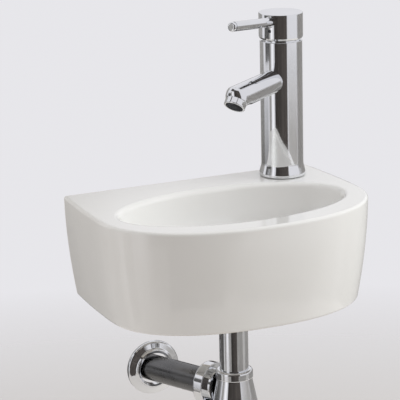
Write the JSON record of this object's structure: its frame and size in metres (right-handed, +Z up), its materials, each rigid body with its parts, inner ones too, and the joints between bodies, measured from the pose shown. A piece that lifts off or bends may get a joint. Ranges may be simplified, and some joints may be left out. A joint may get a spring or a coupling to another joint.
{
  "type": "wall hung basin",
  "caption": "Small wall hung ceramic basin with an oval bowl, a single lever cylinder mixer tap, a push waste and a chrome bottle trap.",
  "frame": {"origin": "middle of the back face on the wall plane, at the height of the two fixing bolts", "axes": "+Z up, +Y into the wall, +X to the right seen from the front"},
  "size_m": [0.3112, 0.2805, 0.4923],
  "materials": {
    "glaze": "white gloss glaze",
    "chrome": "bright plated",
    "satin_pipe": "satin plated",
    "rubber": "matt black",
    "brass": "turned",
    "steel": "zinc plated",
    "white_plastic": "moulded",
    "grey_plastic": "moulded",
    "disc_ceramic": "lapped"
  },
  "bodies": {
    "basin_and_fittings": {"basin": "glaze", "wall_bolts": "steel", "bolt_sleeves": "white_plastic", "bolt_washers": "steel", "bolt_nuts": "steel", "tap_base_seal": "rubber", "tap_body": "chrome", "spout_tube": "chrome", "spout_nose": "chrome", "aerator_housing": "chrome", "aerator_seal": "rubber", "aerator_insert": "grey_plastic", "cartridge_seals": "rubber", "cartridge_housing": "white_plastic", "fixed_disc": "disc_ceramic", "cartridge_nut": "brass", "dome_ring": "chrome", "clamp_rubber": "rubber", "clamp_plate": "steel", "fixing_stud": "brass", "fixing_nut": "brass", "waste_top_seal": "rubber", "waste_body": "chrome", "waste_under_seal": "rubber", "waste_backnut": "brass", "click_housing": "white_plastic", "click_spring": "steel", "inlet_nut": "chrome", "inlet_seal": "rubber", "inlet_tube": "chrome", "trap_top_nut": "chrome", "trap_top_seal": "rubber", "trap_body": "chrome", "trap_cup": "chrome", "cup_seal": "rubber", "outlet_nut": "chrome", "outlet_seal": "rubber", "outlet_pipe": "satin_pipe", "wall_flange": "chrome"},
    "turret": {"cartridge_turret": "grey_plastic", "pivot_pin": "steel"},
    "lever": {"lever_stem": "brass", "handle_cap": "chrome", "handle_lever": "chrome", "grub_screw": "steel"},
    "disc": {"sliding_disc": "disc_ceramic", "disc_carrier": "white_plastic"},
    "plug": {"plug_cap": "chrome", "plug_seal": "rubber", "plug_stem": "brass"}
  },
  "joints": [
    {"name": "tap_temperature", "type": "hinge", "parent": "basin_and_fittings", "child": "turret", "pos_m": [0.105, -0.03, 0.195], "axis": [0, 0, 1], "range_deg": [-45, 45]},
    {"name": "tap_flow", "type": "hinge", "parent": "turret", "child": "lever", "pos_m": [0.105, -0.03, 0.195], "axis": [-0.5446, 0.8387, 0], "range_deg": [0, 20]},
    {"name": "disc_slide", "type": "slide", "parent": "turret", "child": "disc", "axis": [-0.8387, -0.5446, 0], "range_m": [0, 0.003]},
    {"name": "plug_push", "type": "slide", "parent": "basin_and_fittings", "child": "plug", "axis": [0, 0, 1], "range_m": [-0.009, 0], "stiffness_N_per_m": 400, "springref_m": 0.004, "deforming": ["click_spring"]}
  ],
  "couplings": [
    {"joint": "disc_slide", "follows": "tap_flow", "m_per_rad": 0.008}
  ]
}
